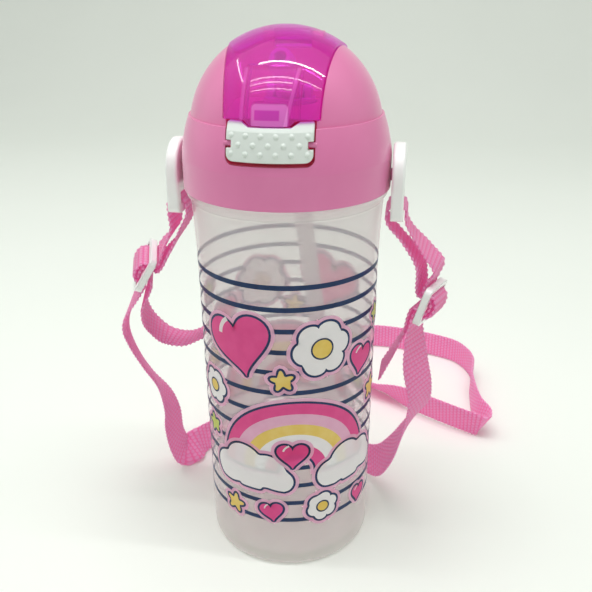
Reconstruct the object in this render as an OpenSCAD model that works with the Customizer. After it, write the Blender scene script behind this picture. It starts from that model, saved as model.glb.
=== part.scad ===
// Kids' drinking bottle: frosted body, screw lid with a flip cover over a folding spout,
// and a webbing carry strap on two hangers.
// Millimetres. Origin at the centre of the base, +Z up. The latch faces -Y.

/* [Bottle] */
// Outer radius of the body at its foot
body_r = 33; // [31:0.1:36]
// How much the radius grows from the foot to the bead by the mould's draft
draft = 1.3; // [0.8:0.1:1.8]
// How far the wall flares out further below the bead
flare = 1; // [0.5:0.1:1.6]
// Height at which the flare begins
flare_z = 115; // [90:1:125]
// Height of the bead's underside
shoulder_z = 146.4; // [140:0.1:152]
// How far the bead stands out from the flared wall
bead_out = 1.4; // [0.6:0.1:2]
// Height of the bead
bead_h = 3.8; // [3:0.1:5]
// Thickness of the body's wall
wall = 1.3; // [1:0.1:2]
// Thickness of the base
base_t = 2; // [1.5:0.1:3]
// Radius of the rounded foot
foot_fillet = 3; // [2:0.1:5]
// Height of the hollow under the base
push_up = 2; // [1:0.1:3]
// How far the neck steps in from the foot's radius
neck_in = 1.2; // [0.8:0.1:2]
// Height of the neck above the bead
neck_h = 10.8; // [9.5:0.1:12]
// Thickness of the neck's wall
neck_wall = 1.8; // [1.4:0.1:2.4]

/* [Lid] */
// How far the lid's rim stands out from the bead
rim_out = 0.8; // [0.4:0.1:1.4]
// Gap between the bead and the lid's rim
rim_gap = 0.4; // [0.3:0.05:0.8]
// Height of the straight part of the skirt
skirt_straight = 11.4; // [9:0.1:13]
// Height of the whole skirt, up to the step under the dome
skirt_h = 25.5; // [24:0.1:28]
// How far the skirt leans in over its curved part
skirt_lean = 3.2; // [2.6:0.1:3.8]
// Angle of the crease where the skirt begins to lean
skirt_crease = 5; // [0:0.5:7]
// Width of the step between skirt and dome
ledge = 0.75; // [0.5:0.05:1]
// Depth of the dome's centre below the step
dome_drop = 5.6; // [5:0.1:6.5]
// Thickness of the lid's walls
lid_wall = 1.8; // [1.5:0.1:2.2]
// Thickness of the deck under the cover
deck_t = 1.4; // [1.2:0.1:2]
// Height of the deck's top above the step
deck_rise = 2.3; // [2:0.1:2.8]
// Thickness of the walls at the sides of the cover's slot
cheek_t = 1.4; // [1:0.1:2]

/* [Flip cover] */
// Width of the cover's slot at the middle of the lid
cover_w = 38.2; // [37:0.1:40]
// How much the half width grows for each millimetre towards the rear
cover_taper = 0.13; // [0.12:0.005:0.15]
// Distance of the cover's rear edge behind the lid's axis
cover_rear = 15; // [14.5:0.1:15.2]
// Radius of the cover's rear corners
cover_corner = 6; // [4:0.5:8]
// Side gap between the cover and its slot
cover_gap = 0.4; // [0.35:0.05:0.6]
// How far the cover stands proud of the dome
cover_proud = 0.6; // [0.4:0.1:1]
// Thickness of the cover
cover_t = 1.8; // [1.5:0.1:2]
// Gap between the cover's lower edge and the latch
cover_lip_gap = 0.5; // [0.35:0.05:0.6]
// Depth of the stiffening ribs inside the cover
rib_depth = 3; // [2:0.1:3.5]
// Distance between the two long ribs
rib_pitch = 17; // [16:0.1:18]

/* [Hinge] */
// Distance of the hinge pin behind the lid's axis
hinge_y = 19; // [18.8:0.1:20]
// Radius of the hinge barrel
barrel_r = 3.3; // [3:0.1:3.4]
// Radius of the hinge pin
pin_r = 1.2; // [1:0.05:1.5]
// Radial running clearance of pins and pegs
pin_clear = 0.06; // [0.03:0.01:0.1]
// Length of the cover's knuckle
knuckle_w = 13; // [11:0.1:15]
// Length of each of the lid's two ears
ear_w = 4.3; // [3.5:0.1:5]
// End gap between knuckle and ears
knuckle_gap = 0.3; // [0.3:0.05:0.5]

/* [Latch] */
// Width of the latch
latch_w = 27.9; // [26.5:0.1:28.5]
// Height of the latch
latch_h = 11.9; // [11.5:0.1:12.2]
// How far the latch stands proud of the skirt
latch_proud = 0.5; // [0.3:0.1:0.8]
// Thickness of the latch's plate
latch_t = 2.2; // [1.8:0.1:2.6]
// Gap round the latch in its pocket
latch_gap = 0.5; // [0.4:0.05:0.7]
// Gap below the latch
latch_drop = 1.4; // [1.2:0.1:1.5]
// Radius of the two pivot pegs
peg_r = 0.95; // [0.8:0.05:1]
// Height of the pivot above the latch's lower edge
pivot_up = 5.1; // [4.8:0.1:5.6]
// Distance of the pivot behind the skirt's face, at the pocket's sides
pivot_in = 0.9; // [0.8:0.05:1.4]
// Radius of the dots on the latch
dot_r = 1.2; // [1:0.1:1.6]
// Height of the dots
dot_h = 0.4; // [0.3:0.05:0.6]
// Distance between neighbouring dots
dot_pitch = 4.8; // [4.4:0.1:4.9]

/* [Spout and straw] */
// Distance of the spout behind the lid's axis
spout_y = 8; // [7:0.1:8.5]
// Inner radius of the turret that carries the spout
turret_r = 8; // [7.5:0.1:8.5]
// Thickness of the turret's wall
turret_wall = 1.5; // [1.2:0.1:2]
// Radius of the ball at the mouthpiece's root
ball_r = 5.2; // [5:0.1:5.6]
// Radius of the mouthpiece's stem
stem_r = 4.1; // [3.8:0.1:4.2]
// Radius of the two trunnions that the mouthpiece turns on
trunnion_r = 1.3; // [1.1:0.1:1.5]
// Length of the mouthpiece from its root
spout_len = 24; // [20:0.5:26]
// Angle at which the closed cover folds the mouthpiece forward
fold = 55; // [50:1:58]
// Outer radius of the straw
straw_r = 3.5; // [3:0.1:4]
// Thickness of the straw's wall
straw_wall = 0.6; // [0.4:0.1:0.8]
// Length of the straw
straw_len = 165; // [150:1:166]
// Angle at which the straw leans to the right
straw_lean = 7.5; // [4:0.5:8]

/* [Strap hardware] */
// Radius of the hangers' rounded top
hanger_r = 11.4; // [10.5:0.1:12]
// Thickness of the hangers
hanger_t = 4.5; // [4:0.1:5]
// Radius of the hangers' soft outer edges
hanger_edge = 1; // [0.5:0.1:1.4]
// Gap between the lid and the hangers
hanger_gap = 0.6; // [0.5:0.05:1]
// Depth of the hangers below their pegs
hanger_drop = 14.8; // [14:0.1:16]
// Radius of the hangers' pegs on the lid
hanger_peg_r = 2.2; // [1.8:0.1:2.6]
// Height of the hangers' pegs above the lid's rim
hanger_peg_up = 4.2; // [4:0.1:5]
// Width of the strap
strap_w = 15; // [13:0.5:16]
// Thickness of the strap
strap_t = 1.1; // [0.8:0.1:1.2]
// Gap between the strap and what it passes over
strap_gap = 0.35; // [0.3:0.05:0.4]
// Width of the bar at the bottom of the hangers
hanger_bar = 3.5; // [3:0.1:4]
// Height of the hangers' strap slot
hanger_slot = 4.2; // [3.6:0.1:4.6]
// Length of the slots beyond the strap's width
slot_room = 1.4; // [1:0.1:2]
// Thickness of the adjusters
adjuster_t = 2.6; // [2.2:0.1:3]
// Width of the adjusters' bars
adjuster_bar = 1.9; // [1.6:0.1:2.2]
// Length of the adjusters' slots along the strap
adjuster_slot = 4.9; // [4.6:0.1:5.4]

/* [Hidden] */
$fn = 96;

frosted = [0.86, 0.86, 0.86, 0.6];
lid_pink = [0.9, 0.52, 0.7];
cover_magenta = [0.84, 0.16, 0.62, 0.8];
white_plastic = [0.95, 0.96, 0.95];
silicone = [0.95, 0.93, 0.92, 0.8];
steel = [0.75, 0.76, 0.78];
strap_pink = [0.91, 0.42, 0.66];

// Solids that cut or trim others reach this far past them
past = 60;
// Faces that are cut through are overrun by this much
over = 0.5;

// Bottle and neck
flare_r = body_r + draft + flare;
bead_r = flare_r + bead_out;
bead_top = shoulder_z + bead_h;
neck_r = body_r - neck_in;
neck_bore = neck_r - neck_wall;
neck_top = bead_top + neck_h;
floor_top = push_up + base_t;

// Lid, from the rim up
rim_r = bead_r + rim_out;
rim_z = bead_top + rim_gap;
lean_z = rim_z + skirt_straight;
step_z = rim_z + skirt_h;
step_r = rim_r - skirt_lean;
lean_chord = norm([skirt_h - skirt_straight, skirt_lean]);
lean_half = atan(skirt_lean / (skirt_h - skirt_straight)) - skirt_crease;
lean_r = lean_chord / (2 * sin(lean_half));
lean_x = rim_r - lean_r * cos(skirt_crease);
lean_cz = lean_z - lean_r * sin(skirt_crease);
dome_z = step_z - dome_drop;
dome_r = norm([step_r - ledge, dome_drop]);
deck_z = step_z + deck_rise;

// Screw insert and seal
thread_room = 0.7;
insert_wall = 1.8;
insert_r = neck_r + thread_room;
insert_out = insert_r + insert_wall;
seal_t = 1.1;
seal_gap = 0.1;
plate_t = 1.4;
plate_z = neck_top + seal_t + 2 * seal_gap;
plate_top = plate_z + plate_t;
shelf_t = 1.2;
shelf_w = 4.5;
shelf_top = plate_top + shelf_t;
turret_rise = 0.4;
turret_top = deck_z + turret_rise;
turret_out = turret_r + turret_wall;
deck_gap = 0.3;

// Spout: the mouthpiece turns about the middle of its ball
socket_clear = 0.3;
seat_flange = 1.2;
pivot_rise = 2;
pivot_z = turret_top + seat_flange + pivot_rise;
post_gap = 0.4;
post_t = 2.4;
post_in = ball_r + post_gap;
post_out = post_in + post_t;
nipple_len = 9;
plug_h = 7.8;
seat_foot = turret_top - plug_h;
spout_bore = 2;

// Cover and hinge
cover_r = dome_r + cover_proud;
cover_in = cover_r - cover_t;
hinge_lift = -0.3;
hinge_z = dome_z + sqrt(pow(dome_r + hinge_lift, 2) - pow(hinge_y, 2));
knuckle_room = 0.9;
trough_t = 1.2;

// Latch
latch_z = shelf_top + latch_drop;
latch_top = latch_z + latch_h;
cover_z = latch_top + cover_lip_gap;
notch_depth = 1.6;
notch_z = latch_top - notch_depth;
tab_z = notch_z + cover_lip_gap;
tab_top_w = 17.8;
tab_low_w = 12.8;
pivot_h = latch_z + pivot_up;
pocket_x = latch_w / 2 + latch_gap;
pocket_wall = 1.2;
pocket_round = 2.5;
skirt_at_pivot = lean_x + sqrt(pow(lean_r, 2) - pow(pivot_h - lean_cz, 2));
latch_pivot_y = pivot_in - sqrt(pow(skirt_at_pivot, 2) - pow(pocket_x, 2));
pocket_depth = 4.6;
pocket_back = latch_pivot_y + pocket_depth;
side_notch = 1.7;
side_notch_h = 2.6;
arm_w = 7.6;
arm_t = 1;
arm_gap = 0.6;
arm_y = pocket_back - arm_gap - arm_t;
peg_in = 1.4;

// Hangers: the inner face, the outer face and the pegs' height
hanger_in = rim_r + hanger_gap;
hanger_out = hanger_in + hanger_t;
hanger_z = rim_z + hanger_peg_up;
hanger_foot = hanger_z - hanger_drop;
hanger_corner = 3;
peg_neck = 2.2;
peg_head = 0.7;
peg_head_t = 0.9;
head_clear = 0.3;
slot_w = strap_w + slot_room;
bar_top = hanger_foot + hanger_bar;

// Adjusters: centre, tilt about Y and turn about their own length
adjuster_side = 2.05;
adjuster_w = slot_w + 2 * adjuster_side;
adjuster_len = 3 * adjuster_bar + 2 * adjuster_slot;
adjuster_corner = 2.6;
adjuster_at = [[-57.2, 0, 115], [54.4, 0, 106.2]];
adjuster_tilt = [32, 17];
adjuster_turn = [20, -20];

// Points on an arc, from angle a0 to a1
function arc(c, r, a0, a1, n = 8) =
    [for (i = [0:n]) c + r * [cos(a0 + (a1 - a0) * i / n), sin(a0 + (a1 - a0) * i / n)]];

// Radius of the body's wall at height z, and the wall from the foot to the bead, moved in by inset
function wall_r(z) =
    let (rise = max(0, (z - flare_z) / (shoulder_z - flare_z)))
    body_r + draft * z / shoulder_z + flare * rise * rise;

function body_wall(inset, z0, n = 8) = concat(
    [[wall_r(z0) - inset, z0]],
    [for (i = [0:n]) let (z = flare_z + (shoulder_z - flare_z) * i / n) [wall_r(z) - inset, z]]
);

function reversed(list) = [for (i = [len(list) - 1:-1:0]) list[i]];

// Body, bead and neck in one revolved wall, with a hollow under the base
module bottle() {
    bead_round = 1.2;
    foot_r = body_r - foot_fillet;
    foot_ring = 4;
    inner_fillet = foot_fillet - wall / 2;
    shoulder_in = shoulder_z - 1;
    profile = concat(
        [[0, push_up], [foot_r - foot_ring - push_up, push_up], [foot_r - foot_ring, 0]],
        arc([foot_r, foot_fillet], foot_fillet, -90, 0),
        body_wall(0, foot_fillet + 1),
        arc([bead_r - bead_round, shoulder_z + bead_out + bead_round], bead_round, -45, 0, 3),
        arc([bead_r - bead_round, bead_top - bead_round], bead_round, 0, 90, 4),
        [[neck_r, bead_top], [neck_r, neck_top - neck_wall / 2]],
        arc([neck_r - neck_wall / 2, neck_top - neck_wall / 2], neck_wall / 2, 0, 180),
        [[neck_bore, bead_top - wall]],
        [[flare_r - wall, shoulder_in - (flare_r - neck_bore) / 2]],
        reversed([for (p = body_wall(wall, floor_top + inner_fillet)) if (p[1] < shoulder_in - 4) p]),
        arc([body_r - wall - inner_fillet, floor_top + inner_fillet], inner_fillet, 0, -90, 5),
        [[0, floor_top]]
    );
    color(frosted) rotate_extrude() polygon(profile);
}

// Outline of the skirt in half section, moved in by inset, up to height top
module skirt_2d(inset, top) {
    intersection() {
        translate([0, rim_z]) square([rim_r + past, top - rim_z]);
        union() {
            translate([0, rim_z]) square([rim_r - inset, skirt_straight]);
            intersection() {
                translate([lean_x, lean_cz]) circle(lean_r - inset, $fn = 240);
                translate([0, lean_z - over]) square([rim_r - inset, past]);
            }
        }
    }
}

module dome_2d(inset) {
    intersection() {
        translate([0, dome_z]) circle(dome_r - inset);
        translate([0, step_z - 1]) square(past);
    }
}

module lid_outer_2d() {
    skirt_2d(0, step_z);
    dome_2d(0);
}

// Skirt and dome as one skin, with a shelf that the screw insert seats under
module lid_skin() {
    rotate_extrude() difference() {
        lid_outer_2d();
        difference() {
            union() {
                skirt_2d(lid_wall, step_z - 1);
                dome_2d(lid_wall);
                translate([0, rim_z - over]) square([rim_r - lid_wall, 2 * over]);
            }
            translate([insert_out - shelf_w, plate_top]) square([past, shelf_t]);
        }
    }
}

// Plan of the cover's slot: sides that spread towards the rear, round rear corners, open front
module slot_plan(grow) {
    rear = cover_rear + grow;
    corner_y = rear - cover_corner;
    side = cover_w / 2 + grow;
    corner_x = side + cover_taper * corner_y - cover_corner * sqrt(1 + pow(cover_taper, 2));
    front = -past;
    half = concat(
        [[side + cover_taper * front, front]],
        arc([corner_x, corner_y], cover_corner, -atan(cover_taper), 90)
    );
    polygon(concat(half, reversed([for (p = half) [-p[0], p[1]]])));
}

module along_x(length) {
    rotate([90, 0, 90]) translate([0, 0, -length / 2]) linear_extrude(length) children();
}

// Round bar or bore along X
module cross_pin(r, length, y, z) {
    translate([-length / 2, y, z]) rotate([0, 90, 0]) cylinder(r = r, h = length);
}

// Round bar along X from x0 outwards, on the right for side 1 and on the left for side -1
module side_peg(side, r, x0, x1, y, z) {
    translate([side * (x0 + x1) / 2, y, z]) rotate([0, 90, 0]) cylinder(r = r, h = x1 - x0, center = true);
}

// Walls beside the cover, the deck below it and the trough behind its knuckle
module slot_walls() {
    deck_foot = deck_z - deck_t;
    translate([0, 0, deck_foot]) linear_extrude(past) difference() {
        slot_plan(cover_gap + cheek_t);
        slot_plan(cover_gap);
    }
    intersection() {
        translate([0, 0, deck_foot]) linear_extrude(deck_t) slot_plan(cover_gap + cheek_t);
        translate([-past, pocket_back, 0]) cube([2 * past, past, 300]);
    }
    trough_w = knuckle_w + 2 * (knuckle_gap + trough_t);
    cross_pin(barrel_r + knuckle_room + trough_t, trough_w, hinge_y, hinge_z);
}

module pocket_walls() {
    width = 2 * (pocket_x + pocket_wall);
    depth = past + pocket_back + pocket_wall;
    translate([-width / 2, -past, plate_top]) cube([width, depth, deck_z - plate_top]);
}

// Room for the latch: open at the top and the front, round at its lower corners
module pocket_space() {
    foot = arc([pocket_x - pocket_round, shelf_top + pocket_round], pocket_round, -90, 0);
    half = concat(foot, [[pocket_x, deck_z + over]]);
    translate([0, pocket_back, 0]) rotate([90, 0, 0]) linear_extrude(past)
        polygon(concat(half, reversed([for (p = half) [-p[0], p[1]]])));
}

// Skirt, dome and slot walls of the lid, with hinge ears, latch pegs and hanger pegs moulded on
module lid_shell() {
    ear_x = knuckle_w / 2 + knuckle_gap;
    barrel_w = 2 * (ear_x + ear_w);
    latch_peg_x = latch_w / 2 - side_notch - peg_in;
    neck_end = hanger_in + peg_neck;
    color(lid_pink) {
        difference() {
            union() {
                lid_skin();
                intersection() {
                    rotate_extrude() lid_outer_2d();
                    union() {
                        slot_walls();
                        pocket_walls();
                    }
                }
                cross_pin(barrel_r, barrel_w, hinge_y, hinge_z);
            }
            translate([0, 0, deck_z]) linear_extrude(past) difference() {
                slot_plan(cover_gap);
                translate([-past, hinge_y - barrel_r]) square(2 * past);
            }
            pocket_space();
            cross_pin(barrel_r + knuckle_room, 2 * ear_x, hinge_y, hinge_z);
            translate([-ear_x, 0, hinge_z]) cube([2 * ear_x, hinge_y, past]);
            cross_pin(pin_r + pin_clear, barrel_w + 2 * over, hinge_y, hinge_z);
            translate([0, spout_y, deck_z - deck_t - over])
                cylinder(r = turret_out + deck_gap, h = deck_t + 2 * over);
        }
        for (side = [-1, 1]) {
            side_peg(side, peg_r, latch_peg_x, pocket_x + pocket_wall / 2, latch_pivot_y, pivot_h);
            side_peg(side, hanger_peg_r, rim_r - lid_wall, neck_end, 0, hanger_z);
            side_peg(side, hanger_peg_r + peg_head, neck_end, neck_end + peg_head_t, 0, hanger_z);
        }
    }
}

// Inner screw cap: ring, sealing plate and the turret for the spout
module lid_insert() {
    ring_foot = rim_z + 1.6;
    color(white_plastic) difference() {
        union() {
            translate([0, 0, ring_foot]) cylinder(r = insert_out, h = plate_top - ring_foot);
            translate([0, spout_y, plate_z]) cylinder(r = turret_out, h = turret_top - plate_z);
        }
        translate([0, 0, ring_foot - over]) cylinder(r = insert_r, h = plate_z - ring_foot + over);
        translate([0, spout_y, plate_z - over]) cylinder(r = turret_r, h = past);
        translate([vent_x, vent_y, plate_z - over]) cylinder(r = vent_r, h = plate_t + 2 * over);
    }
}

// Flat silicone ring on the neck's rim, inside the screw cap
module lid_seal() {
    color(silicone) translate([0, 0, neck_top + seal_gap]) difference() {
        cylinder(r = insert_r - 0.2, h = seal_t);
        translate([0, 0, -over]) cylinder(r = neck_bore - 0.6, h = seal_t + 2 * over);
    }
}

vent_x = 16;
vent_y = -6;
vent_r = 1.3;
vent_head = 0.9;

// Mushroom valve: head on the plate, stem through it, retaining bulb below
module vent_valve() {
    clear = 0.05;
    color(silicone) translate([vent_x, vent_y, 0]) {
        translate([0, 0, plate_top]) cylinder(r = vent_r + 1.8, h = vent_head);
        translate([0, 0, plate_z - 1]) cylinder(r = vent_r - clear, h = plate_t + 1 + over);
        translate([0, 0, plate_z - 2]) cylinder(r1 = vent_r - 0.6, r2 = vent_r + 0.5, h = 2);
    }
}

// The straw's axis leaves the middle of the seat's foot
module on_straw_axis() {
    translate([0, spout_y, seat_foot]) rotate([0, -straw_lean, 0]) children();
}

// Side view of a post that carries a trunnion: upright sides and a round top
module post_2d() {
    half_w = trunnion_r + 1.3;
    polygon(concat(
        [[spout_y - half_w, turret_top], [spout_y + half_w, turret_top]],
        arc([spout_y, pivot_z], half_w, 0, 180, 16)
    ));
}

// Grommet in the turret: plug, flange, posts for the mouthpiece's trunnions, nipple for the straw
module spout_seat() {
    plug_clear = 0.1;
    nipple_r = straw_r - straw_wall - 0.1;
    color(silicone) difference() {
        union() {
            translate([0, spout_y, seat_foot]) cylinder(r = turret_r - plug_clear, h = turret_top - seat_foot);
            translate([0, 0, turret_top]) linear_extrude(seat_flange) intersection() {
                translate([0, spout_y]) circle(turret_out - 0.3);
                slot_plan(0);
            }
            for (side = [-1, 1]) translate([side * (post_in + post_out) / 2, 0, 0]) along_x(post_t) post_2d();
            on_straw_axis() translate([0, 0, -nipple_len]) cylinder(r = nipple_r, h = nipple_len + 2);
        }
        translate([0, spout_y, pivot_z]) sphere(ball_r + socket_clear);
        cross_pin(trunnion_r + pin_clear, 2 * (post_out + over), spout_y, pivot_z);
        translate([0, spout_y, seat_foot + 1]) cylinder(r = spout_bore, h = past);
        on_straw_axis() translate([0, 0, -nipple_len - over]) cylinder(r = nipple_r - 0.8, h = nipple_len + 4);
    }
}

// Soft spout on a ball root with trunnions: stem, waist and a rounded bite tip, bored through
module mouthpiece() {
    tip_r = stem_r + 0.6;
    tip_len = 9;
    waist = 0.5;
    stem_top = spout_len - tip_len;
    profile = concat(
        [[0, 0], [stem_r, 0], [stem_r, stem_top - 2], [stem_r - waist, stem_top]],
        arc([tip_r - 2.2, stem_top + 4.2], 2.2, -40, 20, 4),
        arc([stem_r - 2, spout_len - 2], 2, 10, 90, 6),
        [[0, spout_len]]
    );
    color(silicone) translate([0, spout_y, pivot_z]) rotate([fold, 0, 0]) difference() {
        union() {
            sphere(ball_r);
            cross_pin(trunnion_r, 2 * post_out, 0, 0);
            rotate_extrude() polygon(profile);
        }
        translate([0, 0, -past / 2]) cylinder(r = spout_bore, h = past + spout_len);
    }
}

// Straw pushed up the nipple to the seat's foot
module straw() {
    seat_clear = 0.5;
    color([0.95, 0.95, 0.95, 0.7]) on_straw_axis() translate([0, 0, -straw_len - seat_clear]) difference() {
        cylinder(r = straw_r, h = straw_len);
        translate([0, 0, -over]) cylinder(r = straw_r - straw_wall, h = straw_len + 2 * over);
    }
}

// Part of a ball shell, centred on the dome
module ball_shell(r_out, r_in) {
    translate([0, 0, dome_z]) difference() {
        sphere(r_out);
        sphere(r_in);
    }
}

// Front view of the cover: straight lower edge with a tab that dips into the latch's notch
module cover_front_2d() {
    translate([-past, cover_z]) square([2 * past, past]);
    polygon([
        [-tab_top_w / 2, cover_z + over], [-tab_low_w / 2, tab_z], [tab_low_w / 2, tab_z],
        [tab_top_w / 2, cover_z + over]
    ]);
}

// Ribs, crossbar and catch frame inside the cover, all cut from the same inner shell
module cover_ribs_2d() {
    rib_t = 1.2;
    rib_top = deck_z + 15.6;
    catch_w = 11.6;
    catch_h = 5;
    for (side = [-1, 1]) {
        translate([side * rib_pitch / 2 - rib_t / 2, cover_z]) square([rib_t, rib_top - cover_z]);
        translate([side * (catch_w - rib_t) / 2 - rib_t / 2, cover_z]) square([rib_t, catch_h]);
    }
    translate([-rib_pitch / 2, rib_top - rib_t]) square([rib_pitch, rib_t]);
    translate([-catch_w / 2, cover_z + catch_h - rib_t]) square([catch_w, rib_t]);
}

// Curved cover on its knuckle; the ribs hang from its inner face
module flip_cover() {
    link_t = 2;
    link_y = cover_rear - 2.4;
    link_z = dome_z + sqrt(pow(cover_in, 2) - pow(link_y, 2)) + 0.6;
    color(cover_magenta) difference() {
        union() {
            intersection() {
                ball_shell(cover_r, cover_in);
                linear_extrude(dome_z + 2 * dome_r) slot_plan(0);
                rotate([90, 0, 0]) translate([0, 0, -past]) linear_extrude(2 * past) cover_front_2d();
            }
            intersection() {
                ball_shell(cover_in + over, cover_in - rib_depth);
                translate([0, -over, 0]) rotate([90, 0, 0]) linear_extrude(past) cover_ribs_2d();
            }
            cross_pin(barrel_r, knuckle_w, hinge_y, hinge_z);
            along_x(knuckle_w) polygon([
                [link_y, link_z], [hinge_y, hinge_z + barrel_r - link_t], [hinge_y, hinge_z + barrel_r],
                [link_y + 1, link_z + link_t - 0.6]
            ]);
        }
        cross_pin(pin_r + pin_clear, knuckle_w + 2 * over, hinge_y, hinge_z);
    }
}

module hinge_pin() {
    length = knuckle_w + 2 * (knuckle_gap + ear_w);
    color(steel) cross_pin(pin_r, length, hinge_y, hinge_z);
}

// Radius of the latch's face at height z
function latch_face(z) = lean_x + sqrt(pow(lean_r + latch_proud, 2) - pow(z - lean_cz, 2));

// Front view of the latch: rounded foot, pivot notches in the sides, shallow notch in the top
module latch_front_2d() {
    side = latch_w / 2;
    foot_round = 2.2;
    top_round = 0.8;
    lip_gap = cover_lip_gap;
    half = concat(
        [[tab_low_w / 2 + lip_gap, notch_z], [tab_top_w / 2 + lip_gap, latch_top]],
        arc([side - top_round, latch_top - top_round], top_round, 90, 0, 4),
        [[side, pivot_h + side_notch_h / 2], [side - side_notch, pivot_h + side_notch_h / 2]],
        [[side - side_notch, pivot_h - side_notch_h / 2], [side, pivot_h - side_notch_h / 2]],
        arc([side - foot_round, latch_z + foot_round], foot_round, 0, -90, 6)
    );
    polygon(concat(half, reversed([for (p = half) [-p[0], p[1]]])));
}

// Section of the latch's plate: parallel to the skirt, bevelled in at the top
module latch_section_2d() {
    bevel_z = latch_top - 2.8;
    bevel_r = latch_face(bevel_z);
    difference() {
        skirt_2d(-latch_proud, latch_top + 1);
        skirt_2d(latch_t - latch_proud, latch_top + 1 + over);
        polygon([
            [bevel_r, bevel_z], [bevel_r + 5, bevel_z], [bevel_r, latch_top + 3],
            [bevel_r - 3, latch_top + 1.2]
        ]);
    }
}

// Rocker with dots on its face, pivot bosses, the arm that reaches the cover's catch and a leaf
module latch_button() {
    boss_r = peg_r + 0.8;
    boss_end = latch_w / 2 - side_notch;
    boss_len = 2.2;
    bore_end = boss_end - peg_in - head_clear;
    arm_top = cover_z + 2.7;
    leaf_t = 0.8;
    leaf_y = pocket_back - 1;
    row_z = [pivot_h + 2.6, pivot_h - 0.1, pivot_h - 2.8];
    color(white_plastic) difference() {
        union() {
            intersection() {
                rotate_extrude() latch_section_2d();
                rotate([90, 0, 0]) linear_extrude(past) latch_front_2d();
            }
            for (row = [0:2]) {
                count = row == 1 ? 5 : 6;
                for (i = [0:count - 1]) {
                    x = (i - (count - 1) / 2) * dot_pitch;
                    y = -sqrt(pow(latch_face(row_z[row]) - dot_r + dot_h, 2) - x * x);
                    translate([x, y, row_z[row]]) sphere(dot_r, $fn = 32);
                }
            }
            for (side = [-1, 1]) {
                side_peg(side, boss_r, boss_end - boss_len, boss_end, latch_pivot_y, pivot_h);
            }
            translate([-arm_w / 2, -latch_face(pivot_h) + latch_t - over, pivot_h + 1.6])
                cube([arm_w, arm_y + arm_t + latch_face(pivot_h) - latch_t + over, 2]);
            translate([-arm_w / 2, arm_y, pivot_h + 1.6]) cube([arm_w, arm_t, arm_top - pivot_h - 1.6]);
            translate([-arm_w / 2, -latch_face(latch_z) + latch_t - over, latch_z + 1.4])
                cube([arm_w, leaf_y + latch_face(latch_z) - latch_t + over, leaf_t]);
        }
        for (side = [-1, 1]) {
            side_peg(side, peg_r + pin_clear, bore_end, boss_end + over, latch_pivot_y, pivot_h);
        }
    }
}

// Rectangle with round corners, centred
function soft_rect(w, h, r) = concat(
    arc([w / 2 - r, h / 2 - r], r, 0, 90), arc([r - w / 2, h / 2 - r], r, 90, 180),
    arc([r - w / 2, r - h / 2], r, 180, 270), arc([w / 2 - r, r - h / 2], r, 270, 360)
);

// Blank of a hanger, centred on its own thickness: half a disc with a soft rim on a soft-edged block
module hanger_blank() {
    rim = hanger_r - hanger_edge;
    face = hanger_t / 2 - hanger_edge;
    rim_section = concat(
        [[0, -hanger_t / 2]], arc([rim, -face], hanger_edge, -90, 0), arc([rim, face], hanger_edge, 0, 90),
        [[0, hanger_t / 2]]
    );
    translate([0, 0, hanger_z]) rotate([90, 0, 90]) rotate_extrude(angle = 180) polygon(rim_section);
    translate([0, 0, hanger_foot]) linear_extrude(hanger_drop)
        polygon(soft_rect(hanger_t, 2 * hanger_r, hanger_edge));
}

// Side view of a hanger, as height over depth: round top and rounded foot
module hanger_2d() {
    corner = hanger_corner;
    foot_z = hanger_foot + corner;
    polygon(concat(
        arc([0, hanger_z], hanger_r + over, 0, 180, 24),
        arc([corner - hanger_r, foot_z], corner, 180, 270, 6),
        arc([hanger_r - corner, foot_z], corner, 270, 360, 6)
    ));
}

// Strap plate that turns on the lid's peg; the peg's head snaps into a blind chamber
module hanger(side) {
    chamber_r = hanger_peg_r + peg_head + head_clear;
    chamber_in = hanger_in + peg_neck - head_clear;
    chamber_out = hanger_in + peg_neck + peg_head_t + head_clear;
    color(white_plastic) difference() {
        translate([side * (hanger_in + hanger_t / 2), 0, 0]) difference() {
            intersection() {
                hanger_blank();
                along_x(hanger_t + 2 * over) hanger_2d();
            }
            translate([-hanger_t, -slot_w / 2, bar_top]) cube([2 * hanger_t, slot_w, hanger_slot]);
        }
        side_peg(side, hanger_peg_r + pin_clear, hanger_in - over, chamber_in + over, 0, hanger_z);
        side_peg(side, chamber_r, chamber_in, chamber_out, 0, hanger_z);
    }
}

module hanger_left() hanger(-1);

module hanger_right() hanger(1);

// Flat frame with two slots either side of a middle bar, in its own axes: X out, Z up the strap
module adjuster_frame() {
    corner = adjuster_corner;
    half_w = adjuster_w / 2;
    half_l = adjuster_len / 2;
    quarter = arc([half_w - corner, half_l - corner], corner, 0, 90, 6);
    upper = concat(quarter, reversed([for (p = quarter) [-p[0], p[1]]]));
    pitch = adjuster_bar + adjuster_slot;
    color(white_plastic) along_x(adjuster_t) difference() {
        polygon(concat(upper, reversed([for (p = upper) [p[0], -p[1]]])));
        for (end = [-1, 1]) {
            translate([-slot_w / 2, end * pitch / 2 - adjuster_slot / 2]) square([slot_w, adjuster_slot]);
        }
    }
}

module adjuster(i) {
    translate(adjuster_at[i]) rotate([0, adjuster_tilt[i], 0]) rotate([0, 0, adjuster_turn[i]]) adjuster_frame();
}

module adjuster_left() adjuster(0);

module adjuster_right() adjuster(1);

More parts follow.
